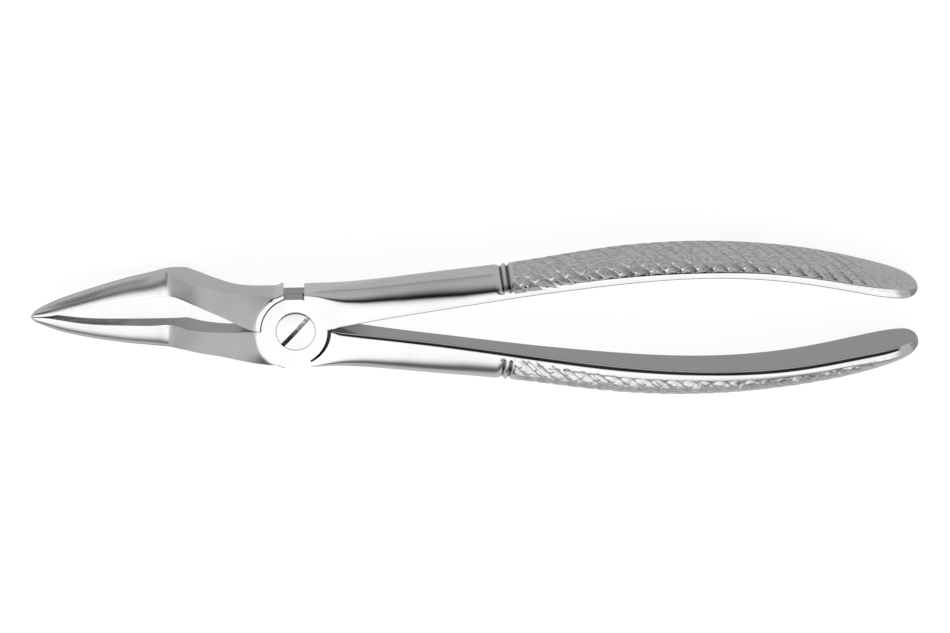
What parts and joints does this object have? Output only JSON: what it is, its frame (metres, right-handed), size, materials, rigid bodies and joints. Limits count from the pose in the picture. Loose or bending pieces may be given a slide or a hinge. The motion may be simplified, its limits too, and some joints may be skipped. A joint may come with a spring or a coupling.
{
  "type": "dental extraction forceps",
  "caption": "Dental extraction forceps with two crossing forged halves, knurled handles, a slotted pivot screw and long offset root beaks.",
  "frame": {"origin": "on the pivot axis, at the middle of the joint's thickness, where the two discs slide on each other", "axes": "+X towards the handle ends, +Y towards the front half's handle, +Z along the pivot out of the screw head"},
  "size_m": [0.1804, 0.032, 0.0247],
  "materials": {
    "forged_steel": "mirror polished, satin on the knurled grip",
    "screw_steel": "polished flush with the joint face"
  },
  "bodies": {
    "rear": {"rear_half": "forged_steel", "pivot_screw": "screw_steel"},
    "front": {"front_half": "forged_steel"}
  },
  "joints": [
    {"name": "pivot_hinge", "type": "hinge", "parent": "rear", "child": "front", "pos_m": [0, 0, 0], "axis": [0, 0, 1], "range_deg": [0, 30]}
  ]
}
